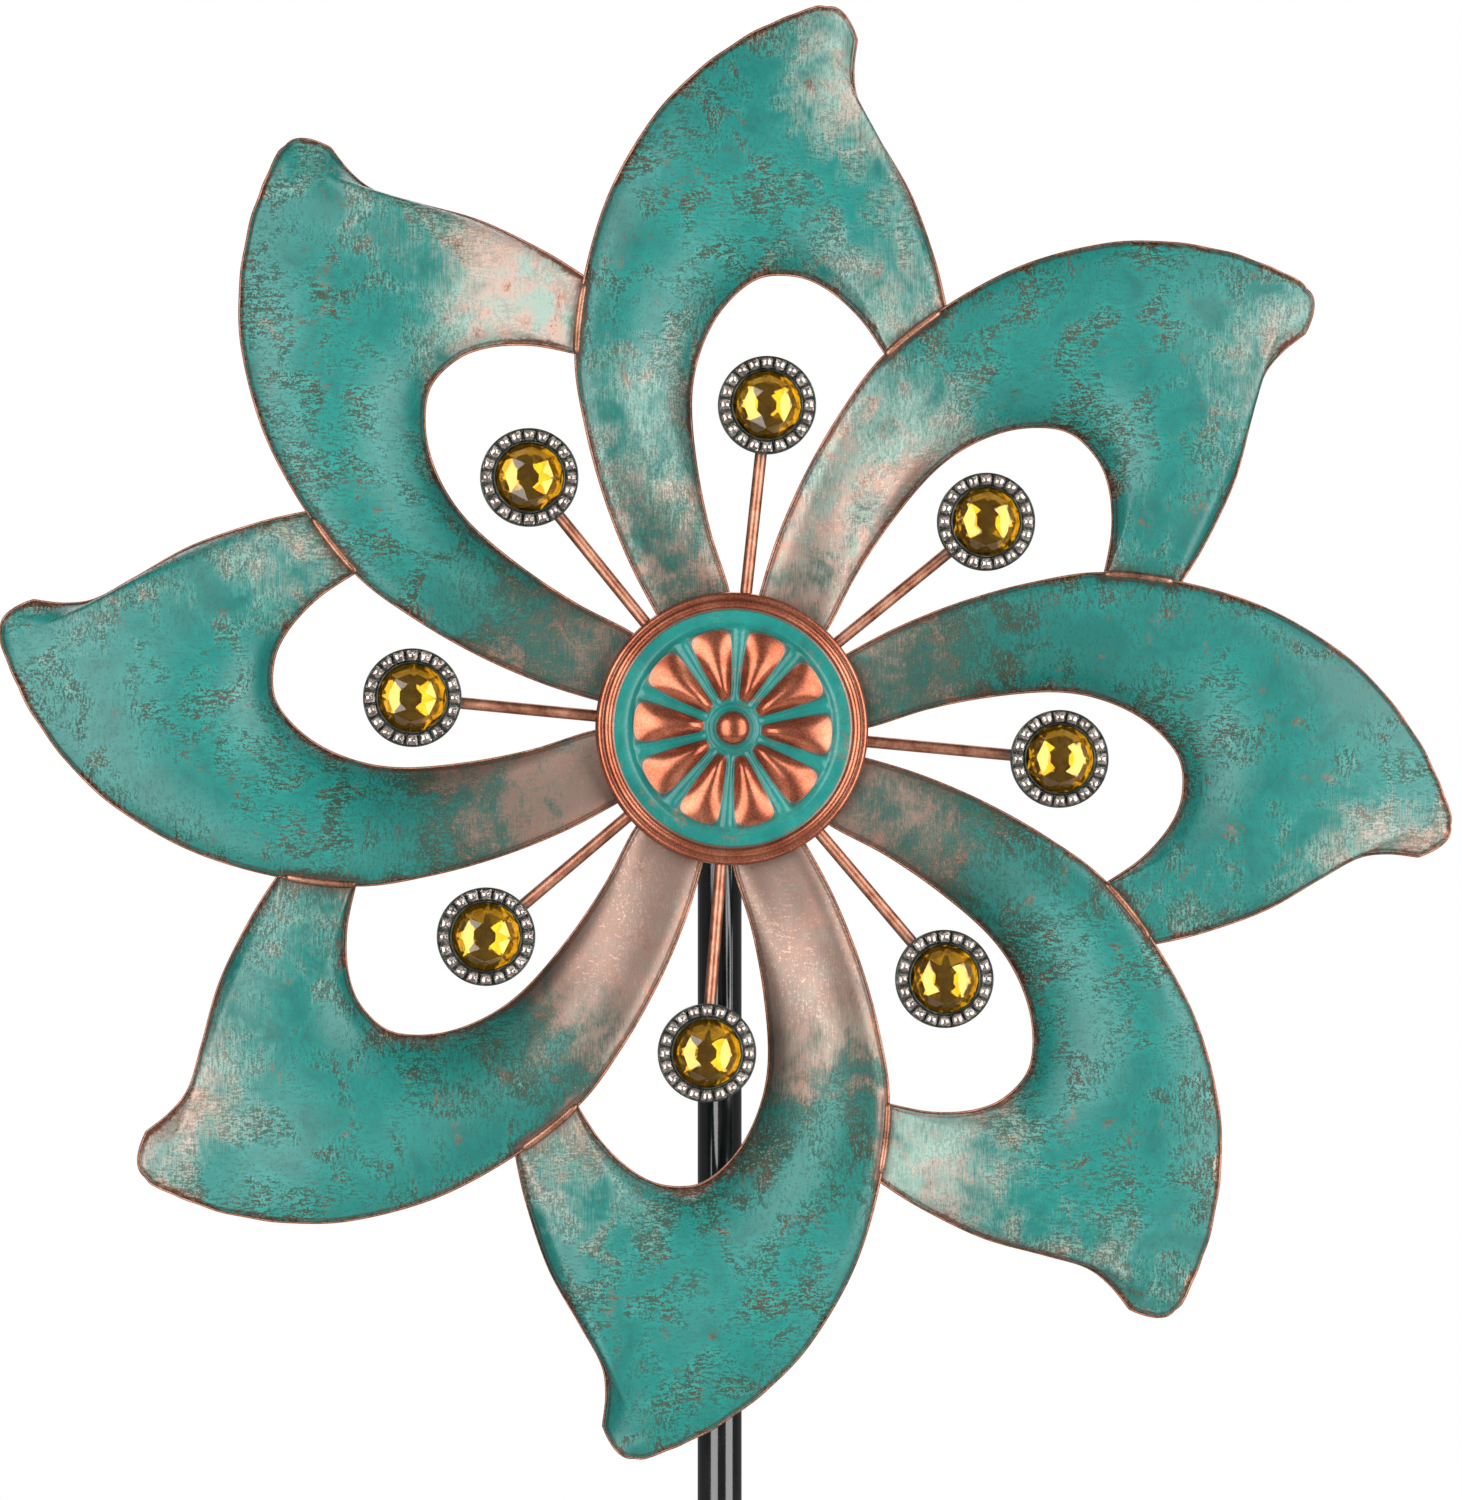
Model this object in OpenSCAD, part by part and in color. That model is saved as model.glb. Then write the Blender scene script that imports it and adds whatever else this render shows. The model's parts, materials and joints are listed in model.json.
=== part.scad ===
// Kinetic garden wind sculpture: a wheel of eight hooked petals with jewelled rods
// between them, turning on two ball bearings, on a swivelling head at the top of a
// three-piece pole with a pronged ground fork.
// Millimetres, +Z up. The origin is on the pole's axis at ground level, under the foot
// plate, and the wheel's front faces -Y. Parts on the wheel are drawn in its own frame:
// X right and Y up as seen from the front, Z forward from the plane of the petal roots.

/* [Wheel] */
// Radius from the wheel's axis to the petal tips
wheel_r = 305; // [295:1:315]
// Height of the wheel's axis above the ground
wheel_z = 1420; // [1200:10:1700]
// Distance from the pole's axis forward to the plane of the petal roots
wheel_reach = 85; // [80:1:110]
// Direction of the first petal's tip, measured from the right
first_tip_angle = 81.5; // [0:0.5:90]
// Thickness of the petal sheet
sheet_t = 1; // [0.8:0.1:1]
// How far the petals' crown stands forward, as a share of the usual height
crown_share = 1; // [0.8:0.1:1.2]

/* [Hub] */
// Radius of the hub plate that the petal roots are welded to
plate_r = 50; // [46:1:52]
// Radius of the rolled bead round the hub's face
face_r = 55.5; // [54:0.1:57]
// Number of raised lobes in the face's rosette
lobes = 10; // [6:1:12]

/* [Jewels] */
// Radius of the circle that the jewels' centres stand on
jewel_orbit_r = 134.6; // [125:0.1:140]
// How far that circle's centre stands to the right of the wheel's axis
jewel_shift = 2; // [0:0.5:3]
// Radius of the amber gem
gem_r = 14.2; // [12:0.1:14.5]
// Radius of the jewel's dark setting
setting_r = 20.3; // [20.2:0.1:21.5]
// Number of small clear stones round each gem
halo_count = 20; // [12:1:20]
// Radius of the rods that carry the jewels
rod_r = 2.5; // [2:0.1:2.5]

/* [Pole] */
// Radius of the pole and of the swivelling head tube
pole_r = 9.5; // [9:0.1:11]
// Wall thickness of the pole
pole_wall = 1.2; // [1:0.1:1.5]
// Depth that the ground fork reaches below the ground
fork_depth = 180; // [140:10:250]

/* [Hidden] */
$fn = 64;
petal_count = 8;
step_angle = 360 / petal_count;
// The jewels' rods stand this far round from the petal tips
rod_lead_angle = 3.2;
clearance = 0.05;

// Axle and bearings, of the 8 x 22 x 7 size
axle_r = 4;
bearing_r = 11;
bearing_w = 7;
ball_r = 1.985;
ball_count = 7;
ball_orbit_r = 7.55;
groove_clearance = 0.045;
inner_race_r = 6.2;
outer_race_inner_r = 8.9;
cage_r = [6.9, 8.2];
cage_w = 5;
bearing_gap = 16;
front_bearing_f = -bearing_w;
rear_bearing_f = front_bearing_f - bearing_gap - bearing_w;
sleeve_r = 13.5;
shoulder_r = 9.6;
washer_t = 1.5;
nut_h = 8;
nut_flat_w = 13;
axle_front_f = washer_t + nut_h + 1;

// Hub face, as distances forward of the petal roots
plate_t = 2;
rim_wire_r = 1.6;
rim_wire_orbit_r = face_r - sheet_t / 2;
skirt_f = 2 * rod_r + 2 * rim_wire_r + 2 * clearance;
bead_tube_r = 3;
bead_f = skirt_f + 1.5;
channel_f = 10.2;
channel_r = [42, 48];
rosette_f = 12;
lobe_inner_r = 11.5;
lobe_outer_r = 40;
lobe_h = 2.6;
boss_r = 7.2;
boss_h = 4.2;
first_valley_angle = 85;

// Jewels
setting_back_f = 2 * rod_r + clearance;
setting_h = 5.5;
setting_floor_t = 1.2;
setting_wall = 0.7;
gem_lip_r = gem_r + clearance;
halo_floor_f = setting_h - 2;
halo_orbit_r = (gem_lip_r + setting_r) / 2;
halo_stone_r = 1.9;
rod_inner_r = sleeve_r + 0.5;
rod_overlap = 8;

// Head
head_half_h = 40;
head_cap_h = 5;
thrust_washer_t = 2;
swivel_pin_r = 5;
bush_h = 15;
plug_depth = 30;
axle_boss_r = 8;
axle_boss_l = 8;
pole_inner_r = pole_r - pole_wall;
head_bottom_z = wheel_z - head_half_h;
pole_top_z = head_bottom_z - thrust_washer_t;

// Pole and ground fork
foot_plate_r = 34;
foot_plate_t = 4;
pole_bottom_z = foot_plate_t + clearance;
section_l = (pole_top_z - pole_bottom_z) / 3;
joiner_l = 90;
joiner_wall = 1.2;
socket_l = 90;
socket_inner_r = pole_r + 0.1;
socket_r = socket_inner_r + 1.6;
socket_bolt_r = 2.5;
socket_bolt_z = foot_plate_t + 60;
socket_nut_h = 4;
socket_nut_flat_w = 8;
spike_r = 6;
spike_collar_r = 9;
spike_collar_l = 10;
spike_point_l = 30;
prong_r = 4;
prong_orbit_r = 75;
prong_bend_r = 16;
prong_point_l = 22;
prong_count = 4;

// The petal is drawn as sections from its leading (convex) edge to its inner edge.
// Radii in this table suit a wheel of 305 mm and are scaled to wheel_r. Each row:
// [leading edge radius, angle], [inner edge radius, angle], angles ahead of the tip,
// then the forward distances of the leading edge, the inner edge and the crown.
SECTIONS = [
    [[28, 40.5],    [28, 11],       0.7, 0.7, 0],
    [[42, 40.8],    [42, 9.4],      0.7, 0.7, 0],
    [[57, 40.8],    [57, 10],       0.7, 0.7, 1.5],
    [[82, 39.4],    [83.5, 15],     2.5, -1.5, 4],
    [[110, 37],     [112, 16.1],    5, -5, 6],
    [[139, 34.2],   [139, 15.4],    7.5, -8, 8],
    [[167, 31.2],   [159.3, 13.1],  8, -10, 9.5],
    [[197, 26.4],   [176.7, 9.6],   8, -10.5, 11],
    [[228.3, 21.1], [189.3, 5.2],   7.5, -9, 11.5],
    [[256, 15.6],   [192, 0.4],     6.5, -6, 11],
    [[274, 11.2],   [188.5, -4],    5.5, -2, 9.5],
    [[284, 8.3],    [179.5, -9.2],  4.5, 2.5, 7],
    [[289.5, 6.7],  [166.6, -15],   4, 6.2, 5],
    [[293.5, 5.2],  [194.5, -18.8], 3.5, 6.2, 5],
    [[296.5, 4.2],  [212, -15],     3, 3, 7],
    [[299, 3.2],    [235, -10.1],   2.5, -1.5, 8.5],
    [[301, 2.5],    [254, -5.6],    2, -4, 8],
    [[302.3, 2],    [268, -2.9],    1.5, -4.5, 6.5],
    [[303.3, 1.5],  [280, -2],      1, -4, 4.5],
    [[303.5, 0.9],  [293, -1.8],    0, -3, 2.5]
];
LAST_SECTION = len(SECTIONS) - 1;
// The inner edge turns sharply at both ends of the heel, which are these rows
HEEL_ROWS = [12, 13];
rows_between_sections = 2;
cells_across = 8;
nose_l = 3.5;

// ---- helpers ----

function numbered(name) = [for (i = [1:8]) str(name, "_", i)];
function tip_angle(i) = first_tip_angle - step_angle * (i - 1);
function jewel_angle(i) = tip_angle(i) + rod_lead_angle;
function on_circle(r, a) = [r * cos(a), r * sin(a)];
function jewel_centre(i) = on_circle(jewel_orbit_r, jewel_angle(i)) + [jewel_shift, 0];

module on_wheel() {
    translate([0, -wheel_reach, wheel_z]) rotate([90, 0, 0]) children();
}

// A ring or disc about the Z axis, from height z for height h
module ring(r, bore, h, z = 0) {
    translate([0, 0, z]) difference() {
        cylinder(r = r, h = h);
        translate([0, 0, -1]) cylinder(r = bore, h = h + 2);
    }
}

// ---- ground fork ----

module ground_spike() {
    color("#1b1b1d") {
        translate([0, 0, -spike_collar_l]) cylinder(r = spike_collar_r, h = spike_collar_l);
        translate([0, 0, -fork_depth + spike_point_l])
            cylinder(r = spike_r, h = fork_depth - spike_point_l - spike_collar_l);
        translate([0, 0, -fork_depth])
            cylinder(r1 = 0.8, r2 = spike_r, h = spike_point_l);
    }
}

module prong() {
    arm_z = -prong_r - clearance;
    bend_x = prong_orbit_r - prong_bend_r;
    bend_z = arm_z - prong_bend_r;
    leg_l = fork_depth + bend_z - prong_point_l;
    translate([spike_collar_r + clearance, 0, arm_z])
        rotate([0, 90, 0]) cylinder(r = prong_r, h = bend_x - spike_collar_r - clearance);
    translate([bend_x, 0, bend_z]) rotate([90, 0, 0])
        rotate_extrude(angle = 90) translate([prong_bend_r, 0]) circle(r = prong_r);
    translate([prong_orbit_r, 0, bend_z - leg_l]) cylinder(r = prong_r, h = leg_l);
    translate([prong_orbit_r, 0, -fork_depth]) cylinder(r1 = 0.6, r2 = prong_r, h = prong_point_l);
}

module ground_prongs() {
    color("#1b1b1d")
        for (i = [0:prong_count - 1])
            rotate([0, 0, 45 + i * 360 / prong_count]) prong();
}

module foot_plate() {
    color("#1b1b1d") cylinder(r = foot_plate_r, h = foot_plate_t);
}

// The cross bolt that ties the pole to the fork's socket, along X
module socket_bolt_shape(r, l) {
    translate([0, 0, socket_bolt_z]) rotate([0, 90, 0]) cylinder(r = r, h = l, center = true);
}

module pole_socket() {
    color("#1b1b1d") difference() {
        ring(socket_r, socket_inner_r, socket_l, foot_plate_t);
        socket_bolt_shape(socket_bolt_r + clearance, 3 * socket_r);
    }
}

module socket_bolt() {
    head_h = 3.5;
    shank_l = socket_nut_h + 2;
    color("#a7a9ab") {
        translate([-socket_r, 0, socket_bolt_z]) rotate([0, 90, 0])
            cylinder(r = socket_bolt_r, h = 2 * socket_r + shank_l);
        translate([-socket_r - head_h, 0, socket_bolt_z]) rotate([0, 90, 0])
            cylinder(r = socket_nut_flat_w / sqrt(3), h = head_h, $fn = 6);
    }
}

module socket_nut() {
    color("#a7a9ab") difference() {
        translate([socket_r + clearance, 0, socket_bolt_z]) rotate([0, 90, 0])
            cylinder(r = socket_nut_flat_w / sqrt(3), h = socket_nut_h, $fn = 6);
        socket_bolt_shape(socket_bolt_r + clearance, 4 * socket_r);
    }
}

// ---- pole ----

// Section 0 is the lowest, and the socket's bolt passes through it
module pole_section(i) {
    color("#141416") difference() {
        ring(pole_r, pole_inner_r, section_l, pole_bottom_z + i * section_l);
        if (i == 0) socket_bolt_shape(socket_bolt_r + clearance, 3 * socket_r);
    }
}

module joiner(i) {
    color("#6d6f72")
        ring(pole_inner_r - clearance, pole_inner_r - clearance - joiner_wall, joiner_l,
             pole_bottom_z + i * section_l - joiner_l / 2);
}

// ---- swivelling head ----

module swivel_pin() {
    color("#8c8f92") {
        translate([0, 0, pole_top_z - plug_depth])
            cylinder(r = pole_inner_r - clearance, h = plug_depth);
        translate([0, 0, pole_top_z])
            cylinder(r = swivel_pin_r, h = thrust_washer_t + 2 * head_half_h - head_cap_h - 3);
    }
}

module thrust_washer() {
    color("#e6e2d6")
        ring(pole_r + 1, swivel_pin_r + clearance, thrust_washer_t - 0.1, pole_top_z);
}

module swivel_bushes() {
    color("#e6e2d6") for (z = [0, 2 * head_half_h - head_cap_h - bush_h - 4])
        ring(pole_inner_r - clearance, swivel_pin_r + clearance, bush_h, head_bottom_z + z);
}

module head_tube() {
    color("#141416") ring(pole_r, pole_inner_r, 2 * head_half_h, head_bottom_z);
}

module head_cap() {
    dome_h = 4;
    dome_r = (pole_r * pole_r + dome_h * dome_h) / (2 * dome_h);
    top_z = head_bottom_z + 2 * head_half_h;
    color("#1b1b1d") {
        translate([0, 0, top_z - head_cap_h])
            cylinder(r = pole_inner_r - clearance, h = head_cap_h);
        intersection() {
            translate([0, 0, top_z + dome_h - dome_r]) sphere(r = dome_r);
            translate([0, 0, top_z]) cylinder(r = pole_r, h = dome_h + 1);
        }
    }
}

// ---- axle and bearings, drawn in the wheel's frame ----

boss_front_f = -wheel_reach + pole_r + axle_boss_l;

module axle_boss() {
    color("#141416") on_wheel() difference() {
        ring(axle_boss_r, axle_r + clearance, wheel_reach + boss_front_f, -wheel_reach);
        translate([0, 0, -wheel_reach]) rotate([90, 0, 0])
            cylinder(r = pole_r + clearance, h = 4 * axle_boss_r, center = true);
    }
}

module axle() {
    back_f = -wheel_reach + pole_r + 0.3;
    color("#a7a9ab") on_wheel() difference() {
        translate([0, 0, back_f - 2]) cylinder(r = axle_r, h = axle_front_f - back_f + 2);
        translate([0, 0, -wheel_reach]) rotate([90, 0, 0])
            cylinder(r = pole_r + clearance, h = 4 * axle_boss_r, center = true);
    }
}

module axle_spacer() {
    color("#a7a9ab") on_wheel()
        ring(6, axle_r + clearance, rear_bearing_f - boss_front_f - clearance, boss_front_f);
}

module bearing_spacer() {
    color("#a7a9ab") on_wheel()
        ring(6, axle_r + clearance, bearing_gap, rear_bearing_f + bearing_w);
}

module at_bearings() {
    for (f = [rear_bearing_f, front_bearing_f])
        on_wheel() translate([0, 0, f]) children();
}

module ball_groove() {
    translate([0, 0, bearing_w / 2]) rotate_extrude()
        translate([ball_orbit_r, 0]) circle(r = ball_r + groove_clearance);
}

module bearing_inner_races() {
    color("#b9bbbd") at_bearings() difference() {
        ring(inner_race_r, axle_r + 0.02, bearing_w);
        ball_groove();
    }
}

module bearing_outer_races() {
    color("#b9bbbd") at_bearings() difference() {
        ring(bearing_r, outer_race_inner_r, bearing_w);
        ball_groove();
    }
}

module at_balls() {
    for (i = [0:ball_count - 1])
        rotate([0, 0, i * 360 / ball_count]) translate([ball_orbit_r, 0, bearing_w / 2]) children();
}

module bearing_balls() {
    color("#d0d2d4") at_bearings() at_balls() sphere(r = ball_r);
}

module bearing_cages() {
    color("#c8a24a") at_bearings() difference() {
        ring(cage_r[1], cage_r[0], cage_w, (bearing_w - cage_w) / 2);
        at_balls() rotate([0, 90, 0])
            cylinder(r = ball_r + groove_clearance, h = 4, center = true);
    }
}

module axle_washer() {
    color("#a7a9ab") on_wheel() ring(8, axle_r + clearance, washer_t);
}

module lock_nut() {
    color("#a7a9ab") on_wheel() difference() {
        translate([0, 0, washer_t]) cylinder(r = nut_flat_w / sqrt(3), h = nut_h, $fn = 6);
        cylinder(r = axle_r + clearance, h = 20);
    }
}

// ---- hub ----

module hub_plate() {
    color("#a4573a") on_wheel() ring(plate_r, sleeve_r + clearance, plate_t, -plate_t);
}

// The bearing housing: a pocket at each end with a shoulder between them
module hub_sleeve() {
    color("#a4573a") on_wheel() rotate_extrude() polygon([
        [bearing_r + 0.01, rear_bearing_f], [sleeve_r, rear_bearing_f], [sleeve_r, 0],
        [bearing_r + 0.01, 0], [bearing_r + 0.01, front_bearing_f],
        [shoulder_r, front_bearing_f], [shoulder_r, rear_bearing_f + bearing_w],
        [bearing_r + 0.01, rear_bearing_f + bearing_w]
    ]);
}

module hub_rim_wire() {
    color("#b3643f") on_wheel() translate([0, 0, 2 * rod_r + clearance + rim_wire_r])
        rotate_extrude() translate([rim_wire_orbit_r, 0]) circle(r = rim_wire_r);
}

// The pressed dish: a rolled bead, a channel inside it and the rosette's raised floor
module face_dish() {
    t = sheet_t;
    bead_c = face_r - bead_tube_r;
    bead = [for (a = [0:15:150]) [bead_c + bead_tube_r * cos(a), bead_f + bead_tube_r * sin(a)]];
    inside = [for (a = [150:-15:0])
        [bead_c + (bead_tube_r - t) * cos(a), bead_f + (bead_tube_r - t) * sin(a)]];
    rotate_extrude() polygon(concat(
        [[face_r, skirt_f]], bead,
        [[channel_r[1], channel_f + t], [channel_r[0], channel_f + t],
         [channel_r[0] - 1.6, rosette_f + t], [0, rosette_f + t], [0, rosette_f],
         [channel_r[0] - 2, rosette_f], [channel_r[0] - 0.6, channel_f],
         [channel_r[1] + 0.4, channel_f]],
        inside, [[face_r - t, skirt_f]]
    ));
}

// One raised lobe of the rosette, crowned from its inner end to its outer end
module lobe() {
    span = 0.78 * 360 / lobes;
    base = rosette_f + sheet_t - 0.2;
    rotate([0, 0, -span / 2]) rotate_extrude(angle = span) polygon(concat(
        [[lobe_inner_r, base], [lobe_outer_r, base]],
        [for (a = [15:15:165]) [
            (lobe_inner_r + lobe_outer_r) / 2 + (lobe_outer_r - lobe_inner_r) / 2 * cos(a),
            base + 0.2 + lobe_h * sin(a)]]
    ));
}

module hub_face() {
    boss_sphere_r = (boss_r * boss_r + boss_h * boss_h) / (2 * boss_h);
    color("#2f9487") on_wheel() {
        face_dish();
        for (i = [0:lobes - 1])
            rotate([0, 0, first_valley_angle + (i + 0.5) * 360 / lobes]) lobe();
        intersection() {
            translate([0, 0, rosette_f + sheet_t + boss_h - boss_sphere_r])
                sphere(r = boss_sphere_r);
            translate([0, 0, rosette_f + sheet_t - 0.2]) cylinder(r = boss_r, h = boss_h + 1);
        }
    }
}

// ---- petals ----

// A smooth curve through the values v, at position t, using only the rows lo to hi
function spline(v, t, lo, hi) =
    let (i = min(floor(t), hi - 1), x = t - i,
         a = v[max(i - 1, lo)], b = v[i], c = v[i + 1], d = v[min(i + 2, hi)])
    b + x * ((c - a) / 2 + x * (a - 2.5 * b + 2 * c - d / 2 + x * (1.5 * (b - c) + (d - a) / 2)));

function column(k) = [for (s = SECTIONS) s[k]];
LEAD = [for (s = SECTIONS) on_circle(s[0][0] * wheel_r / 305, s[0][1])];
INNER = [for (s = SECTIONS) on_circle(s[1][0] * wheel_r / 305, s[1][1])];
LEAD_F = column(2);
INNER_F = column(3);
CROWN = column(4);

// The run of rows between sharp corners that position t lies in
function run_of(t) =
    t < HEEL_ROWS[0] ? [0, HEEL_ROWS[0]]
    : t < HEEL_ROWS[1] ? HEEL_ROWS
    : [HEEL_ROWS[1], LAST_SECTION];
function inner_spline(v, t) = spline(v, t, run_of(t)[0], run_of(t)[1]);
function lead_spline(v, t) = spline(v, t, 0, LAST_SECTION);

// A point of the petal's middle surface: t runs from root to tip, v from edge to edge
function petal_point(t, v) =
    let (lead = lead_spline(LEAD, t), inner = inner_spline(INNER, t),
         arch = 1 - pow(abs(2 * v - 1), 2.6),
         nose = 4 * v * (1 - v) * nose_l * pow(t / LAST_SECTION, 30),
         flat = lead + (inner - lead) * v + [nose, 0],
         f = lead_spline(LEAD_F, t) * (1 - v) + inner_spline(INNER_F, t) * v
             + arch * lead_spline(CROWN, t) * crown_share)
    [flat[0], flat[1], f];

// The petal's sheet as one closed mesh, its back a sheet's thickness behind its front
module petal_sheet() {
    nu = LAST_SECTION * rows_between_sections;
    nv = cells_across;
    w = nv + 1;
    mid = [for (i = [0:nu]) for (j = [0:nv]) petal_point(i / rows_between_sections, j / nv)];
    half = [0, 0, sheet_t / 2];
    points = concat([for (p = mid) p + half], [for (p = mid) p - half]);
    n = len(mid);
    front = [for (i = [0:nu - 1]) for (j = [0:nv - 1])
        let (a = i * w + j) each [[a, a + 1, a + w + 1], [a, a + w + 1, a + w]]];
    back = [for (f = front) [f[2] + n, f[1] + n, f[0] + n]];
    rim = concat([for (j = [0:nv]) j], [for (i = [1:nu]) i * w + nv],
                 [for (j = [1:nv]) nu * w + nv - j], [for (i = [1:nu - 1]) (nu - i) * w]);
    sides = [for (k = [0:len(rim) - 1])
        let (a = rim[k], b = rim[(k + 1) % len(rim)]) each [[b, a, a + n], [b, a + n, b + n]]];
    polyhedron(points, concat(front, back, sides));
}

module petal(i) {
    color("#2f9c8e") on_wheel() rotate([0, 0, tip_angle(i)]) petal_sheet();
}

// ---- jewels ----

module at_jewel(i) {
    centre = jewel_centre(i);
    on_wheel() translate([centre[0], centre[1], setting_back_f])
        rotate([0, 0, jewel_angle(i)]) children();
}

module jewel_rod(i) {
    centre = jewel_centre(i);
    color("#a9603f") on_wheel() rotate([0, 0, atan2(centre[1], centre[0])])
        translate([rod_inner_r, 0, rod_r]) rotate([0, 90, 0])
            cylinder(r = rod_r, h = norm(centre) + rod_overlap - rod_inner_r);
}

// A cup with a seat for the gem in the middle and a channel for the halo round it
module jewel_setting(i) {
    outer_r = setting_r - setting_wall;
    inner_r = gem_lip_r + setting_wall;
    color("#2f3a36") at_jewel(i) rotate_extrude() polygon([
        [0, 0], [setting_r - 1, 0], [setting_r, 1], [setting_r, setting_h],
        [outer_r, setting_h], [outer_r, halo_floor_f], [inner_r, halo_floor_f],
        [inner_r, setting_h], [gem_lip_r, setting_h], [gem_lip_r, setting_floor_t],
        [0, setting_floor_t]
    ]);
}

// A faceted gem: an eight-sided table, a crown in two rows and a low pavilion
module gem() {
    sides = 16;
    rings = [[0.3, 0], [0.97, 3], [1, 3.6], [1, 4.6], [0.84, 7.4], [0.5, 9.4]];
    points = [for (k = [0:len(rings) - 1]) for (i = [0:sides - 1])
        let (a = (i + (k % 2) / 2) * 360 / sides)
        [gem_r * rings[k][0] * cos(a), gem_r * rings[k][0] * sin(a), rings[k][1]]];
    last = (len(rings) - 1) * sides;
    skin = [for (k = [0:len(rings) - 2]) for (i = [0:sides - 1])
        let (a = k * sides + i, b = k * sides + (i + 1) % sides,
             c = a + sides, d = b + sides)
        each (k % 2 == 0 ? [[a, c, b], [b, c, d]] : [[a, c, d], [a, d, b]])];
    polyhedron(points, concat(
        [[for (i = [0:sides - 1]) i]], skin, [[for (i = [0:sides - 1]) last + sides - 1 - i]]
    ));
}

module amber_gems() {
    color("#c9860a") for (i = [1:petal_count])
        at_jewel(i) translate([0, 0, setting_floor_t + clearance]) gem();
}

module halo_stone() {
    girdle = 0.8;
    cylinder(r = halo_stone_r, h = girdle);
    translate([0, 0, girdle]) cylinder(r1 = halo_stone_r, r2 = 0.6 * halo_stone_r, h = 1);
}

module halo_stones() {
    color("#d8dcd6") for (i = [1:petal_count]) at_jewel(i)
        for (k = [0:halo_count - 1])
            rotate([0, 0, k * 360 / halo_count])
                translate([halo_orbit_r, 0, halo_floor_f + clearance]) halo_stone();
}

// ---- what is drawn ----

ground_spike();
ground_prongs();
foot_plate();
pole_socket();
socket_bolt();
socket_nut();
pole_section(0);  // lower_pole
pole_section(1);  // middle_pole
pole_section(2);  // upper_pole
joiner(1);  // lower_joiner
joiner(2);  // upper_joiner
swivel_pin();
thrust_washer();
swivel_bushes();
head_tube();
head_cap();
axle();
axle_boss();
axle_spacer();
bearing_spacer();
bearing_inner_races();
bearing_outer_races();
bearing_balls();
bearing_cages();
axle_washer();
lock_nut();
hub_plate();
hub_sleeve();
hub_rim_wire();
hub_face();
for (i = [1:petal_count]) {
    petal(i);
    jewel_rod(i);
    jewel_setting(i);
}
amber_gems();
halo_stones();
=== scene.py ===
"""Looks for the garden wind sculpture: detailed petals, hub face and jewels, and a material
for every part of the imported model. Metres in the part's own frame: +Z up, the origin on the
pole's axis at ground level, and the wheel's front faces -Y."""

import json
import math

import bmesh
import bpy
import numpy as np
from mathutils import Matrix, Vector, noise


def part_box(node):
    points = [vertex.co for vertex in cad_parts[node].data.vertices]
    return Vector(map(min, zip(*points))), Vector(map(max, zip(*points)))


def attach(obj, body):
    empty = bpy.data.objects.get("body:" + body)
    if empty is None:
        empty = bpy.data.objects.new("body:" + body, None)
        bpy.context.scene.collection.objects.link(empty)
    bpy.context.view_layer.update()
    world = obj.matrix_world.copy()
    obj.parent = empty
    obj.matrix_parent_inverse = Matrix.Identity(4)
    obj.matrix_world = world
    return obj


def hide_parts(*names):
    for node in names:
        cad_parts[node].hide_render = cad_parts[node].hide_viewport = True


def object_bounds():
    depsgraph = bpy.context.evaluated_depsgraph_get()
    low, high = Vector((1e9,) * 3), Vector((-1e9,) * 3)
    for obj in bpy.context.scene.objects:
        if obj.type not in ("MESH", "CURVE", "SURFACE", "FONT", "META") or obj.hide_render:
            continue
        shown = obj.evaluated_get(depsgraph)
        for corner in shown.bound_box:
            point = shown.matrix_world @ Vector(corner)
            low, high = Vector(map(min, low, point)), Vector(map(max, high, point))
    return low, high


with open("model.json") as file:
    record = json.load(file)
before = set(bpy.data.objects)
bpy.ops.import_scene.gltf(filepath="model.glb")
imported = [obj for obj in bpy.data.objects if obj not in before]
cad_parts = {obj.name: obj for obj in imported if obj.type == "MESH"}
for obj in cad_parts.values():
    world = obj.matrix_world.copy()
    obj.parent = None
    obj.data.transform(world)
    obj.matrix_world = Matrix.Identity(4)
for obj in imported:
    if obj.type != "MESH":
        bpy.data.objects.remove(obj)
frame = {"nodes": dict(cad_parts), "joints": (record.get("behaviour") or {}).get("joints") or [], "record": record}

cad_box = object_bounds()

# ---- places and sizes, from the frame ----

MM = 0.001
PETALS = 8
STEP = 360 / PETALS
FIRST_TIP = 81.5
WHEEL_SPIN = next(j for j in frame["joints"] if j["name"] == "wheel_spin")
HUB = Vector(WHEEL_SPIN["pos_m"])


def tip_angle(i):
    """Direction of petal i's tip, in degrees from the right; petals are numbered from 1."""
    return FIRST_TIP - STEP * (i - 1)


def to_row(points):
    """Wheel-frame points in mm (x right, y up, z forward) as row-frame points in metres."""
    p = np.asarray(points, float)
    x, y, f = p[..., 0], p[..., 1], p[..., 2]
    return np.stack([HUB.x + x * MM, HUB.y - f * MM, HUB.z + y * MM], axis=-1)


def wheel_box(node):
    """Lowest and highest corner of a CAD node in the wheel's frame, in mm."""
    lo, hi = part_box(node)
    low = [(lo.x - HUB.x) / MM, (lo.z - HUB.z) / MM, (HUB.y - hi.y) / MM]
    high = [(hi.x - HUB.x) / MM, (hi.z - HUB.z) / MM, (HUB.y - lo.y) / MM]
    return low, high


def jewel_places():
    """Centre of each jewel's setting, at its back, in the wheel's frame in mm."""
    places = []
    for i in range(1, PETALS + 1):
        low, high = wheel_box(f"jewel_setting_{i}")
        places.append(((low[0] + high[0]) / 2, (low[1] + high[1]) / 2, low[2]))
    return places


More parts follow.
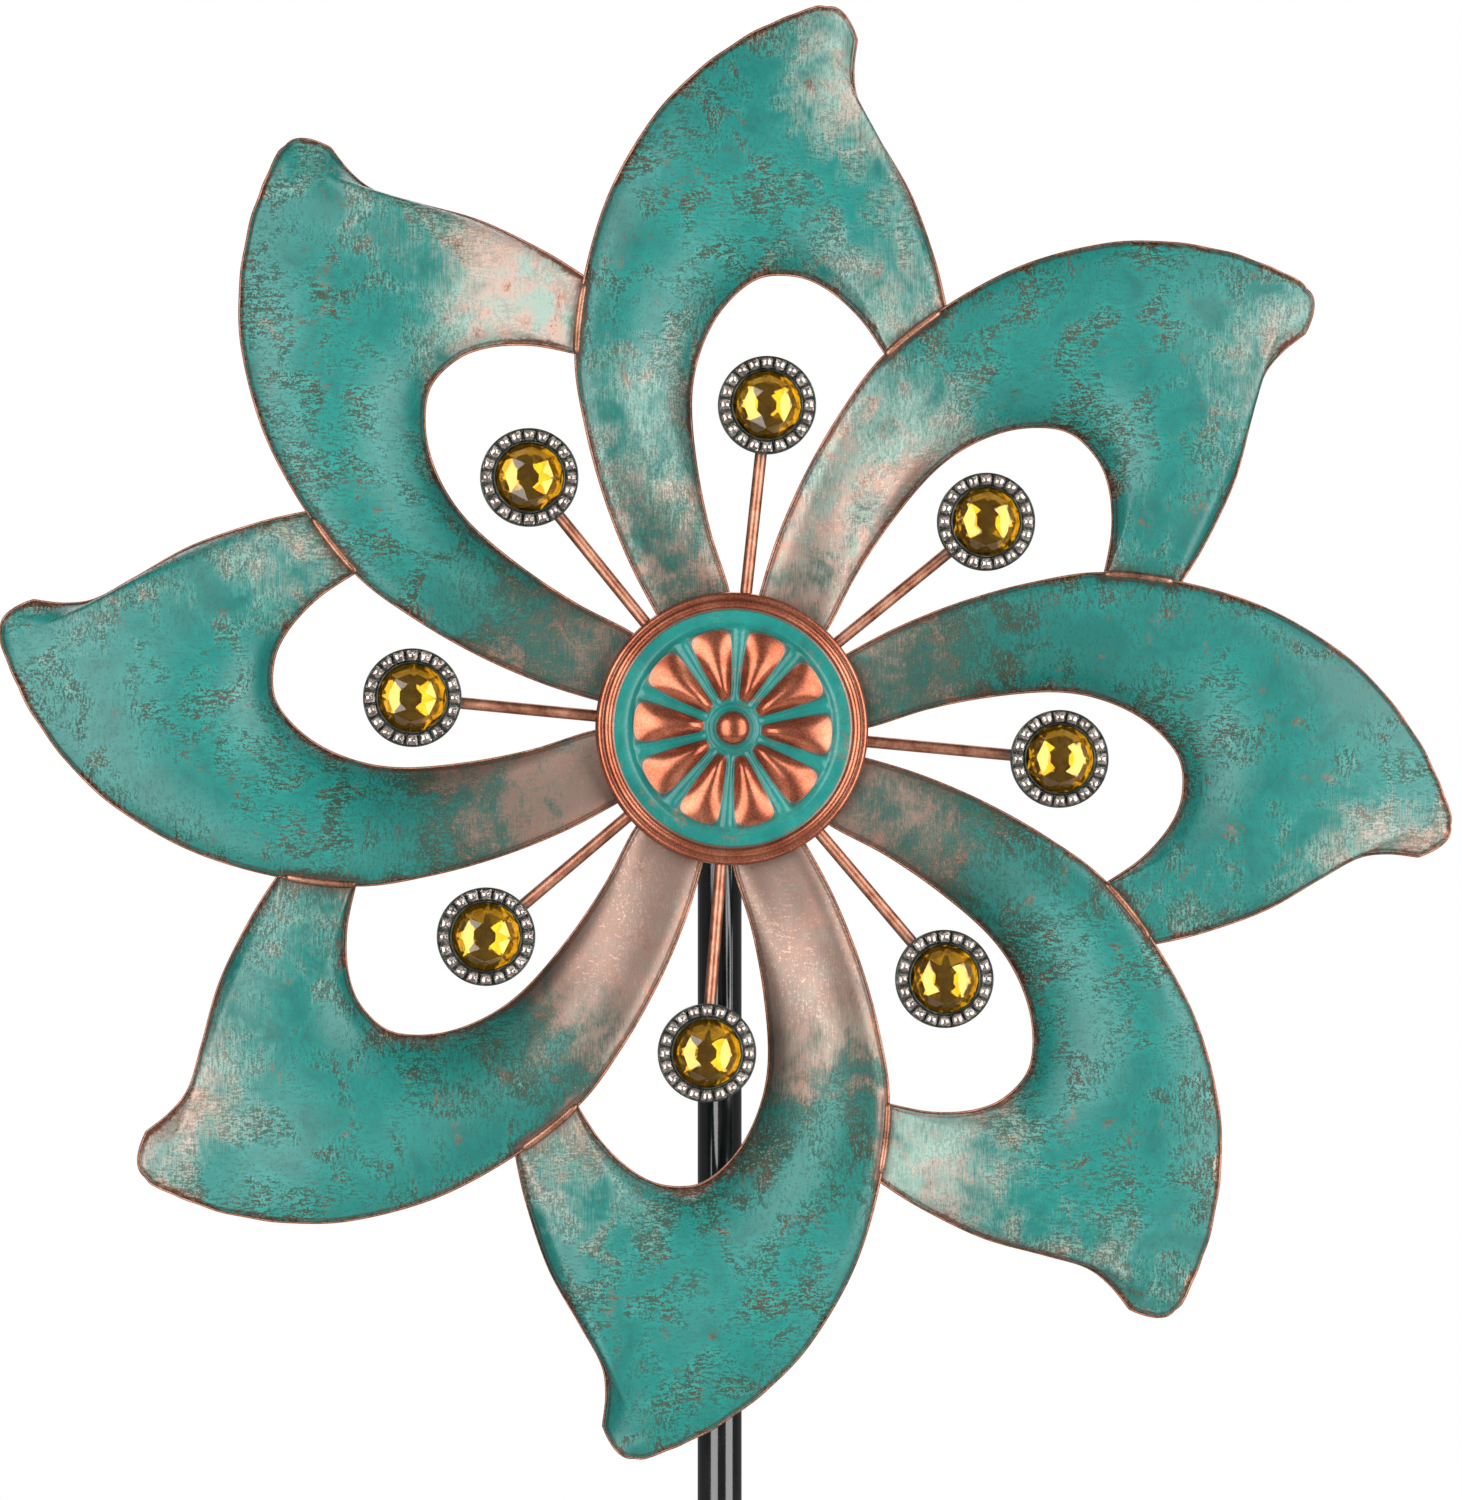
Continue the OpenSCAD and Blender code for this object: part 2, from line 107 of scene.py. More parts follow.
def turned(points, degrees):
    """Wheel-frame points turned about the wheel's axis, anticlockwise from the front."""
    c, s = math.cos(math.radians(degrees)), math.sin(math.radians(degrees))
    p = np.asarray(points, float)
    x, y = p[..., 0], p[..., 1]
    return np.stack([c * x - s * y, s * x + c * y, p[..., 2]], axis=-1)


def smoothstep(x, low, high):
    """0 at low, 1 at high and smooth between; low may be the greater."""
    t = np.clip((np.asarray(x, float) - low) / (high - low), 0, 1)
    return t * t * (3 - 2 * t)


# ---- meshes ----


class Shape:
    """Points, faces and per-point values of one piece, gathered shell by shell."""

    def __init__(self):
        self.points, self.faces, self.slots, self.values = [], [], [], {}

    def add(self, points, faces, slot=0, **values):
        points = np.asarray(points, float).reshape(-1, 3)
        start = len(self.points)
        self.points.extend(points.tolist())
        self.faces.extend([tuple(start + k for k in face) for face in faces])
        slots = slot if isinstance(slot, list) else [slot] * len(faces)
        self.slots.extend(slots)
        for name in set(self.values) | set(values):
            held = self.values.setdefault(name, [0.0] * start)
            given = np.broadcast_to(values.get(name, 0.0), len(points))
            held.extend(float(v) for v in given)

    def piece(self, name, materials, replaces, smooth=True):
        """Makes the mesh object, riding on the wheel in place of the named CAD nodes."""
        mesh = bpy.data.meshes.new(name)
        mesh.from_pydata(to_row(self.points).tolist(), [], self.faces)
        for key, held in self.values.items():
            mesh.attributes.new(key, "FLOAT", "POINT").data.foreach_set("value", held)
        for material in materials:
            mesh.materials.append(material)
        mesh.polygons.foreach_set("material_index", self.slots)
        mesh.polygons.foreach_set("use_smooth", [smooth] * len(self.faces))
        shells = bmesh.new()
        shells.from_mesh(mesh)
        bmesh.ops.recalc_face_normals(shells, faces=shells.faces)
        shells.to_mesh(mesh)
        shells.free()
        thing = bpy.data.objects.new(name, mesh)
        bpy.context.scene.collection.objects.link(thing)
        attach(thing, "wheel")
        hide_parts(*replaces)


def grid(rows, columns, around=False):
    """Quads of a grid of points, joined from its last column to its first if around."""
    wide = columns if around else columns - 1
    return [
        (r * columns + c, r * columns + (c + 1) % columns,
         (r + 1) * columns + (c + 1) % columns, (r + 1) * columns + c)
        for r in range(rows - 1) for c in range(wide)
    ]


def sheet_faces(rows, columns):
    """Faces of a closed sheet: a front grid, a back grid after it, and the rim between."""
    n = rows * columns
    front = grid(rows, columns)
    back = [tuple(k + n for k in reversed(face)) for face in front]
    rim = (list(range(columns)) + [r * columns + columns - 1 for r in range(1, rows)]
           + [n - 1 - c for c in range(1, columns)]
           + [r * columns for r in range(rows - 2, 0, -1)])
    sides = [(b, a, a + n, b + n) for a, b in zip(rim, rim[1:] + rim[:1])]
    return front + back + sides


def revolve(profile, segments):
    """A shell turned about the local Z axis. The profile runs from axis to axis as (r, z)."""
    turns = np.arange(segments) * 2 * math.pi / segments
    rings = [
        [(r * math.cos(a), r * math.sin(a), z) for a in turns] for r, z in profile[1:-1]
    ]
    n = len(rings) * segments
    points = [p for ring in rings for p in ring]
    points += [(0, 0, profile[0][1]), (0, 0, profile[-1][1])]
    last = n - segments
    caps = [(n, (k + 1) % segments, k) for k in range(segments)]
    caps += [(n + 1, last + k, last + (k + 1) % segments) for k in range(segments)]
    return np.array(points), grid(len(rings), segments, around=True) + caps


def sweep(path, across, up, profile, scale=None):
    """A shell with flat ends: the profile's (across, up) points carried along the path."""
    scale = np.ones(len(path)) if scale is None else scale
    n, m = len(path), len(profile)
    points = [
        path[k] + scale[k] * (a * across[k] + b * up[k])
        for k in range(n) for a, b in profile
    ]
    ends = [tuple(range(m)), tuple(reversed(range((n - 1) * m, n * m)))]
    return np.array(points), grid(n, m, around=True) + ends


def arc(radius, degrees, middle=(0.0, 0.0), rise=None):
    """Points on a circle at the given angles; rise is its other radius if it is an ellipse."""
    rise = radius if rise is None else rise
    return [(middle[0] + radius * math.cos(a), middle[1] + rise * math.sin(a))
            for a in np.radians(degrees)]


# ---- materials ----


def linear(colour):
    """A colour written as #rrggbb, as the linear RGBA that shaders take."""
    parts = [int(colour[k:k + 2], 16) / 255 for k in (1, 3, 5)]
    return [p / 12.92 if p <= 0.04045 else ((p + 0.055) / 1.055) ** 2.4 for p in parts] + [1]


class Nodes:
    """Short calls that build one material's node tree."""

    def __init__(self, name):
        self.material = bpy.data.materials.new(name)
        self.material.use_nodes = True
        self.tree = self.material.node_tree
        self.tree.nodes.clear()
        self.where = self.add("ShaderNodeTexCoord").outputs["Object"]

    def add(self, kind, inputs=None, **settings):
        node = self.tree.nodes.new(kind)
        for name, value in settings.items():
            setattr(node, name, value)
        for socket, value in (inputs or {}).items():
            self.put(node.inputs[socket], value)
        return node

    def put(self, socket, value):
        if isinstance(value, bpy.types.NodeSocket):
            self.tree.links.new(value, socket)
        elif isinstance(value, str):
            socket.default_value = linear(value)
        else:
            socket.default_value = value

    def value(self, name):
        """A per-point value that the mesh holds."""
        return self.add("ShaderNodeAttribute", attribute_name=name).outputs["Fac"]

    def math(self, operation, a, b=0.0):
        return self.add("ShaderNodeMath", {0: a, 1: b}, operation=operation).outputs[0]

    def total(self, *terms):
        result = terms[0]
        for term in terms[1:]:
            result = self.math("ADD", result, term)
        return result

    def times(self, a, b):
        return self.math("MULTIPLY", a, b)

    def smooth(self, x, low, high, out_low=0.0, out_high=1.0):
        node = self.add(
            "ShaderNodeMapRange",
            {"Value": x, "From Min": low, "From Max": high, "To Min": out_low,
             "To Max": out_high},
            interpolation_type="SMOOTHSTEP")
        return node.outputs["Result"]

    def noise(self, size, detail=2.0, rough=0.5, distort=0.0, shift=0.0):
        """Noise whose features are about size mm wide, or (x, y, z) mm."""
        sizes = size if isinstance(size, tuple) else (size, size, size)
        place = self.add(
            "ShaderNodeMapping",
            {"Vector": self.where, "Location": (shift, shift * 1.7, shift * 2.3),
             "Scale": tuple(1 / (s * MM) for s in sizes)})
        node = self.add(
            "ShaderNodeTexNoise",
            {"Vector": place.outputs[0], "Scale": 1.0, "Detail": detail, "Roughness": rough,
             "Distortion": distort})
        return node.outputs["Fac"]

    def mix(self, amount, a, b):
        node = self.add("ShaderNodeMix", {0: amount, 6: a, 7: b}, data_type="RGBA")
        return node.outputs[2]

    def shades(self, x, *stops):
        """Colours along x, each stop a (place, colour) pair."""
        node = self.add("ShaderNodeValToRGB", {"Fac": x})
        ramp = node.color_ramp
        while len(ramp.elements) < len(stops):
            ramp.elements.new(0.5)
        for element, (place, colour) in zip(ramp.elements, stops):
            element.position = place
            element.color = linear(colour)
        return node.outputs["Color"]

    def bump(self, height, depth, strength=1.0):
        """Relief of up to depth mm where height runs from 0 to 1."""
        node = self.add(
            "ShaderNodeBump", {"Height": height, "Strength": strength, "Distance": depth * MM})
        return node.outputs["Normal"]

    def finish(self, **inputs):
        """Ends the tree in a Principled shader; _ in a socket's name stands for a space."""
        named = {name.replace("_", " "): value for name, value in inputs.items()}
        shader = self.add("ShaderNodeBsdfPrincipled", named)
        output = self.add("ShaderNodeOutputMaterial")
        self.tree.links.new(shader.outputs[0], output.inputs["Surface"])
        return self.material


def patina_material(name, metals, pepper_share, roughness):
    """Teal enamel brushed over copper. The mesh gives the distance from an edge in mm, how
    bare the copper is (solid from 1.5 up), how much pale pink-white is painted on as a highlight, and where
    painted shade darkens the sheet."""
    n = Nodes(name)
    edge, bare, haze, grime = (n.value(key) for key in ("edge", "bare", "haze", "grime"))

    def centred(x, share):
        return n.times(n.math("SUBTRACT", x, 0.5), share)

    blotch = n.noise(19, detail=3, rough=0.6, distort=0.6)
    broad = n.noise(60, detail=2, shift=3.1)
    upright = n.noise((1.0, 3.0, 3.2), detail=2, rough=0.6, distort=0.8, shift=7.3)
    level = n.noise((3.6, 3.0, 1.0), detail=2, rough=0.6, distort=0.8, shift=21.7)
    strokes = n.mix(n.smooth(broad, 0.45, 0.55), upright, level)
    maze = n.noise(3.0, detail=1, distort=1.2, shift=11.9)
    fine = n.noise(0.85, detail=2, rough=0.6, shift=5.7)
    hair = n.noise((0.5, 0.5, 9.0), detail=1, shift=9.2)
    rust = n.noise(11, detail=3, rough=0.65, distort=0.5, shift=17.9)
    ragged = n.total(centred(strokes, 0.6), centred(fine, 0.5))

    teal = n.shades(n.total(n.times(blotch, 0.6), n.times(broad, 0.4)),
                    (0.38, "#0e625b"), (0.5, "#13736b"), (0.62, "#1c847b"))
    thin = n.smooth(n.total(bare, centred(blotch, 1.0), centred(hair, 0.3), ragged),
                    0.05, 1.0, 0.0, 0.9)
    # Thin enamel over copper, dark olive-brown to pinkish copper; on the lower and left stems, given more copper
    # per petal, its pink end partly paints their lit sheen.
    stem = n.shades(thin, (0.15, "#2a5c51"), (0.5, "#453b2f"), (0.88, "#a47c70"))
    # Painted highlight: a pale pink-white mixed into the enamel where the mesh asks for it, standing for the soft
    # sheen of the lights on tips, heels and stems.
    painted_sheen_amount = n.smooth(n.total(haze, centred(blotch, 1.3), centred(hair, 0.5)), 0.15, 1.0, 0.0, 0.8)
    painted_sheen_colour = n.shades(n.total(n.times(rust, 0.5), n.times(broad, 0.5)),
                    (0.43, "#a3b3a6"), (0.5, "#bfaa9e"), (0.58, "#cfa292"))
    enamel = n.mix(painted_sheen_amount, n.mix(thin, teal, stem), painted_sheen_colour)

    wear = n.smooth(n.total(edge, centred(blotch, -14.0), n.times(ragged, -9.0)), 1.6, -1.2)
    spots = n.smooth(n.total(rust, n.times(ragged, 0.6)), 0.63, 0.78, 0.0, 0.75)
    solid = n.smooth(bare, 1.2, 1.5)
    copper = n.math("MAXIMUM", solid, n.math("MAXIMUM", wear, spots))
    metal = n.shades(n.total(n.times(blotch, 0.6), n.times(fine, 0.4)),
                     *zip((0.38, 0.5, 0.62), metals))
    clean = n.mix(copper, enamel, metal)

    worn = n.smooth(n.total(n.times(blotch, 0.75), n.times(broad, 0.25),
                            n.smooth(edge, 24, 4, 0.0, 0.05)), 0.44, 0.62)
    worms = n.smooth(n.math("ABSOLUTE", centred(maze, 1.0)), 0.05, 0.01, 0.0, 0.07)
    pepper = n.smooth(n.total(ragged, n.times(worn, n.total(worms, 0.06)), n.times(thin, 0.12)),
                      0.03, 0.09)
    covered = n.math("MAXIMUM", n.times(painted_sheen_amount, 0.9), n.smooth(thin, 0.5, 0.85, 0.0, 0.6))
    covered = n.math("MAXIMUM", covered, n.times(solid, 0.85))
    share = n.times(n.total(n.times(n.math("MAXIMUM", worn, thin), 0.6), 0.4), pepper_share)
    pepper = n.times(n.times(pepper, share), n.math("SUBTRACT", 1.0, covered))
    dark = n.shades(n.total(n.times(rust, 0.4), n.times(fine, 0.3), n.times(worn, 0.12)),
                    (0.36, "#11463c"), (0.45, "#1d382c"), (0.55, "#413626"))
    # Painted shade: a dark brown line 1 to 2 mm inside every edge, and the dark lines that the mesh asks for
    # beside the beads and in the hub's hollows, which also dull the metal there.
    painted_rim_shade = n.times(n.smooth(edge, 1.9, 1.1), n.smooth(edge, 0.3, 0.8))
    painted_shade_share = n.times(n.math("MAXIMUM", grime, n.times(painted_rim_shade, 0.7)),
                   n.smooth(strokes, 0.3, 0.55, 0.65, 1.0))
    colour = n.mix(painted_shade_share, n.mix(pepper, clean, dark), "#31190f")

    height = n.total(n.times(pepper, -0.4), n.times(copper, -0.4), n.times(fine, 0.2),
                     n.times(strokes, 0.3), n.times(hair, 0.4))
    bright = n.math("MAXIMUM", n.times(copper, 0.85), n.times(thin, 0.8))
    return n.finish(
        Base_Color=colour,
        Metallic=n.times(bright, n.smooth(painted_shade_share, 0.9, 0.2, 0.2, 1.0)),
        Roughness=n.total(roughness, n.times(fine, 0.1), n.times(hair, 0.06),
                          n.times(pepper, 0.2)),
        Specular_IOR_Level=0.42,
        Normal=n.bump(height, 0.04, 0.16 * pepper_share + 0.06))


def copper_material(name, roughness, green_from=None):
    """Copper enamel, brown in its low spots, greener past green_from mm from the axis."""
    n = Nodes(name)
    blotch = n.noise(9, detail=3, rough=0.6)
    grain = n.noise((0.6, 0.6, 2.0), detail=2, shift=2.9)
    colour = n.shades(n.total(n.times(blotch, 0.7), n.times(grain, 0.3)),
                      (0.36, "#7e4d3b"), (0.5, "#a06b55"), (0.66, "#bb8b75"))
    if green_from:
        out = n.add("ShaderNodeVectorMath", {0: n.where, 1: tuple(HUB)}, operation="DISTANCE")
        green = n.smooth(n.total(out.outputs["Value"], n.times(grain, 0.012)),
                         green_from * MM, (green_from + 22) * MM)
        colour = n.mix(n.times(green, 0.8), colour, "#4d6258")
    return n.finish(
        Base_Color=colour, Metallic=0.92,
        Roughness=n.smooth(blotch, 0.3, 0.7, roughness, roughness + 0.1),
        Normal=n.bump(grain, 0.015, 0.3))


def black_material():
    """Gloss black powder coat, with its faint orange peel and a little dust."""
    n = Nodes("black_enamel")
    peel = n.noise((1.6, 1.6, 2.2), detail=2)
    dust = n.noise((9, 9, 30), detail=4, rough=0.7, shift=4.2)
    scuff = n.noise((0.5, 0.5, 6), detail=2, shift=9.5)
    return n.finish(
        Base_Color=n.shades(dust, (0.45, "#0c0c0d"), (0.7, "#19191a")),
        Roughness=n.total(n.smooth(dust, 0.4, 0.75, 0.09, 0.17), n.times(scuff, 0.04)),
        Specular_IOR_Level=0.6, Coat_Weight=0.3, Coat_Roughness=0.06,
        Normal=n.bump(peel, 0.02, 0.35))


def steel_material(name, low, high, roughness, stretch):
    """Bare or plated steel, with fine lines along the machining."""
    n = Nodes(name)
    lines = n.noise(stretch, detail=3, rough=0.6)
    cloud = n.noise(7, detail=2, shift=6.1)
    return n.finish(
        Base_Color=n.shades(n.total(n.times(lines, 0.5), n.times(cloud, 0.5)),
                            (0.35, low), (0.65, high)),
        Metallic=1.0,
        Roughness=n.smooth(lines, 0.3, 0.7, roughness, roughness + 0.12),
        Normal=n.bump(lines, 0.01, 0.4))


def nylon_material():
    n = Nodes("nylon")
    cloud = n.noise(5, detail=3)
    grain = n.noise(0.4, detail=1, shift=1.3)
    return n.finish(
        Base_Color=n.shades(cloud, (0.4, "#ded9c8"), (0.6, "#ece8dc")),
        Roughness=n.smooth(grain, 0.3, 0.7, 0.42, 0.58),
        Subsurface_Weight=0.1, Subsurface_Scale=0.002,
        Normal=n.bump(grain, 0.02, 0.3))


def setting_material():
    """Antique gunmetal, rubbed brighter on its high spots."""
    n = Nodes("dark_setting")
    rub = n.noise(1.6, detail=3, rough=0.6)
    cloud = n.noise(6, detail=2, shift=2.2)
    return n.finish(
        Base_Color=n.shades(n.total(n.times(rub, 0.6), n.times(cloud, 0.4)),
                            (0.38, "#252b28"), (0.55, "#444d48"), (0.68, "#7d7c72")),
        Metallic=0.85,
        Roughness=n.smooth(rub, 0.3, 0.7, 0.3, 0.46),
        Normal=n.bump(rub, 0.05, 0.5))


def gem_material():
    """Clear amber acrylic, tinted unevenly."""
    n = Nodes("amber_gem")
    cloud = n.noise(6, detail=2)
    return n.finish(
        Base_Color=n.shades(cloud, (0.35, "#d29c26"), (0.65, "#e2b138")),
        Roughness=n.smooth(cloud, 0.3, 0.7, 0.01, 0.03),
        Transmission_Weight=1.0, IOR=1.55)


def foil_material(name, low, high, shine):
    """The mirror foil on the back of a stone."""
    n = Nodes(name)
    cloud = n.noise(3, detail=2)
    fine = n.noise(0.6, detail=1, shift=4.4)
    return n.finish(
        Base_Color=n.shades(cloud, (0.35, low), (0.65, high)),
        Metallic=shine,
        Roughness=n.smooth(cloud, 0.3, 0.7, 0.04, 0.09),
        Normal=n.bump(fine, 0.01, 0.2))


def stone_material():
    n = Nodes("clear_stone")
    cloud = n.noise(4, detail=2)
    return n.finish(
        Base_Color=n.shades(cloud, (0.4, "#e6dcd8"), (0.6, "#f4f2ee")),
        Roughness=n.smooth(cloud, 0.3, 0.7, 0.01, 0.04),
        Transmission_Weight=1.0, IOR=1.55)


def floor_material():
    n = Nodes("floor")
    cloud = n.noise(400, detail=2)
    return n.finish(
        Base_Color=n.shades(cloud, (0.4, "#dcdad6"), (0.6, "#e2e0dc")),
        Roughness=n.smooth(cloud, 0.3, 0.7, 0.6, 0.7))


PATINA = patina_material("patina", ("#5e3a2c", "#94624c", "#b98873"), 0.95, 0.29)
HUB_PATINA = patina_material("hub_patina", ("#8a4630", "#a65d44", "#bb755a"), 0.35, 0.2)
ENAMELS = {
    "verdigris_enamel": PATINA,
    "copper_enamel": copper_material("copper_enamel", 0.18),
    "copper_rod": copper_material("copper_rod", 0.34, green_from=112),
    "black_enamel": black_material(),
    "plated_steel": steel_material("plated_steel", "#8f9193", "#b9bbbc", 0.24, (3, 3, 0.4)),
    "bearing_steel": steel_material("bearing_steel", "#b3b5b7", "#d2d4d6", 0.08, (2, 0.3, 2)),
    "cage_brass": steel_material("cage_brass", "#a98538", "#cda752", 0.22, (2, 0.4, 2)),
    "nylon": nylon_material(),
    "dark_setting": setting_material(),
    "amber_gem": gem_material(),
    "clear_stone": stone_material(),
}
AMBER_FOIL = foil_material("amber_foil", "#b4ab7c", "#cdc493", 0.9)
CLEAR_FOIL = foil_material("clear_foil", "#a9a29c", "#e0d6d0", 0.8)


def finish_cad_nodes():
    """Gives each CAD node the finish of its slot in the record."""
    for part in frame["record"]["subparts"]:
        node, slot = frame["nodes"][part["node"]], part["material_slot"]
        node.data.materials.clear()
        node.data.materials.append(ENAMELS[slot])


# ---- petals ----

# The petal's sections, from root to tip, as in the CAD: [leading edge radius, angle],
# [inner edge radius, angle], angles ahead of the tip, then the forward distances of the
# leading edge, the inner edge and the crown, all in mm and degrees.
SECTIONS = [
    [[28, 40.5],    [28, 11],       0.7, 0.7, 0],
    [[42, 40.8],    [42, 9.4],      0.7, 0.7, 0],
    [[57, 40.8],    [57, 10],       0.7, 0.7, 1.5],
    [[82, 39.4],    [83.5, 15],     2.5, -1.5, 4],
    [[110, 37],     [112, 16.1],    5, -5, 6],
    [[139, 34.2],   [139, 15.4],    7.5, -8, 8],
    [[167, 31.2],   [159.3, 13.1],  8, -10, 9.5],
    [[197, 26.4],   [176.7, 9.6],   8, -10.5, 11],
    [[228.3, 21.1], [189.3, 5.2],   7.5, -9, 11.5],
    [[256, 15.6],   [192, 0.4],     6.5, -6, 11],
    [[274, 11.2],   [188.5, -4],    5.5, -2, 9.5],
    [[284, 8.3],    [179.5, -9.2],  4.5, 2.5, 7],
    [[289.5, 6.7],  [166.6, -15],   4, 6.2, 5],
    [[293.5, 5.2],  [194.5, -18.8], 3.5, 6.2, 5],
    [[296.5, 4.2],  [212, -15],     3, 3, 7],
    [[299, 3.2],    [235, -10.1],   2.5, -1.5, 8.5],
    [[301, 2.5],    [254, -5.6],    2, -4, 8],
    [[302.3, 2],    [268, -2.9],    1.5, -4.5, 6.5],
    [[303.3, 1.5],  [280, -2],      1, -4, 4.5],
    [[303.5, 0.9],  [293, -1.8],    0, -3, 2.5],
]
LAST = len(SECTIONS) - 1

# The sections at the heel's two ends, and how far the tip's end bulges
HEEL = (12, 13)
NOSE = 3.5

ARCH_POWER = 2.6
SHEET_T = 1.0
ROWS_PER_SECTION = 8
COLUMNS = 41
EDGE_STEPS = 40
EASE_REACH = 9.0
EASE_BATCH = 500
LONG_WAVE = (0.9, 42)
SHORT_WAVE = (0.22, 15)
RIM_R = 0.5
RIM_INSET = 0.9
RIM_SIDES = 8
RIM_STEPS = 12
BEAD_SPAN = (6.02, 6.9)
BEAD_STEPS = 24
BEAD_HALF_W = 1.7
BEAD_H = 1.9
BEAD_FOOT = 1.2
BEAD_END = 0.35

# Values of bare and edge, as patina_material reads them, on solid copper away from any edge
SOLID_COPPER = 2.0
FAR_FROM_EDGE = 30.0


def on_circle(place):
    radius, angle = place
    return [radius * math.cos(math.radians(angle)), radius * math.sin(math.radians(angle))]


LEAD = np.array([on_circle(s[0]) + [s[2]] for s in SECTIONS])
INNER = np.array([on_circle(s[1]) + [s[3]] for s in SECTIONS])
CROWN = np.array([[s[4]] for s in SECTIONS], float)


def spline(values, t, low, high):
    """A smooth curve through the rows low to high of values, at the places t."""
    i = np.clip(np.floor(t).astype(int), low, high - 1)
    x = (t - i)[:, None]
    a, b = values[np.maximum(i - 1, low)], values[i]
    c, d = values[i + 1], values[np.minimum(i + 2, high)]
    return b + x * ((c - a) / 2 + x * (a - 2.5 * b + 2 * c - d / 2
                                       + x * (1.5 * (b - c) + (d - a) / 2)))


def inner_spline(t):
    """The inner edge, which turns sharply at both ends of the heel."""
    root = spline(INNER, t, 0, HEEL[0])
    heel = spline(INNER, t, *HEEL)
    tip = spline(INNER, t, HEEL[1], LAST)
    t = t[:, None]
    return np.where(t < HEEL[0], root, np.where(t < HEEL[1], heel, tip))


def petal_surface(t, v):
    """Middle surface of a petal: t from root to tip, v from leading to inner edge."""
    t, v = np.asarray(t, float), np.asarray(v, float)
    lead, inner = spline(LEAD, t, 0, LAST), inner_spline(t)
    crown = spline(CROWN, t, 0, LAST)
    arch = 1 - np.abs(2 * v - 1) ** ARCH_POWER
    points = lead[:, None] * (1 - v)[None, :, None] + inner[:, None] * v[None, :, None]
    points[..., 0] += 4 * (v * (1 - v))[None] * (NOSE * (t / LAST) ** 30)[:, None]
    points[..., 2] += arch[None] * crown
    return points


def outline(steps):
    """The petal's edge from its root, round the tip and back, with steps points a section."""
    along = np.linspace(0, LAST, LAST * steps + 1)
    lead = petal_surface(along, [0.0])[:, 0]
    nose = petal_surface([LAST], np.linspace(0, 1, steps + 1)[1:-1])[0]
    inner = petal_surface(along[::-1], [1.0])[:, 0]
    return np.concatenate([lead, nose, inner])


def nearest(points, targets):
    """Distance from each point to the nearest target, seen from the front."""
    flat = points.reshape(-1, 3)[:, :2]
    distances = [np.hypot(*(targets[:, :2] - p).T).min() for p in flat]
    return np.array(distances)


def heel_line(petal_turn):
    """The line that a heel meets on the leading edge of the next petal clockwise."""
    t = np.linspace(*BEAD_SPAN, BEAD_STEPS)
    return turned(petal_surface(t, [0.0])[:, 0], petal_turn)


def eased(points, edge, reach):
    """The same sheet with its creases eased over reach mm, fading out towards its edges.
    Each new height is that of a plane fitted to the heights around the point."""
    x, y, height = (points[..., k].ravel() for k in range(3))
    along = np.gradient(points[..., :2], axis=0)
    across = np.gradient(points[..., :2], axis=1)
    area = np.abs(along[..., 0] * across[..., 1] - along[..., 1] * across[..., 0]).ravel()
    ones = np.ones_like(x)
    sides = np.stack([ones, x, y, x * x, x * y, y * y, height, height * x, height * y], axis=1)
    result = height.copy()
    for k in range(0, len(x), EASE_BATCH):
        part = slice(k, k + EASE_BATCH)
        gap = (x[part, None] - x) ** 2 + (y[part, None] - y) ** 2
        sums = (np.exp(-gap / (2 * reach ** 2)) * area) @ sides
        normal = sums[:, [0, 1, 2, 1, 3, 4, 2, 4, 5]].reshape(-1, 3, 3)
        plane = np.linalg.solve(normal, sums[:, 6:, None])[..., 0]
        result[part] = plane[:, 0] + plane[:, 1] * x[part] + plane[:, 2] * y[part]
    share = smoothstep(edge, 0, 1.2 * reach)
    mixed = (height + share * (result - height)).reshape(points.shape[:2])
    return np.concatenate([points[..., :2], mixed[..., None]], axis=-1)


def dents(points, edge, number):
    """How far forward the pressed sheet waves, in mm, dying away at its edges."""
    waves = [
        LONG_WAVE[0] * noise.noise(Vector((x / LONG_WAVE[1], y / LONG_WAVE[1], number * 7.3)))
        + SHORT_WAVE[0] * noise.noise(
            Vector((x / SHORT_WAVE[1], y / SHORT_WAVE[1], number * 3.1 + 40)))
        for x, y, _ in points.reshape(-1, 3)
    ]
    return np.array(waves) * smoothstep(edge, 1.0, 14.0)


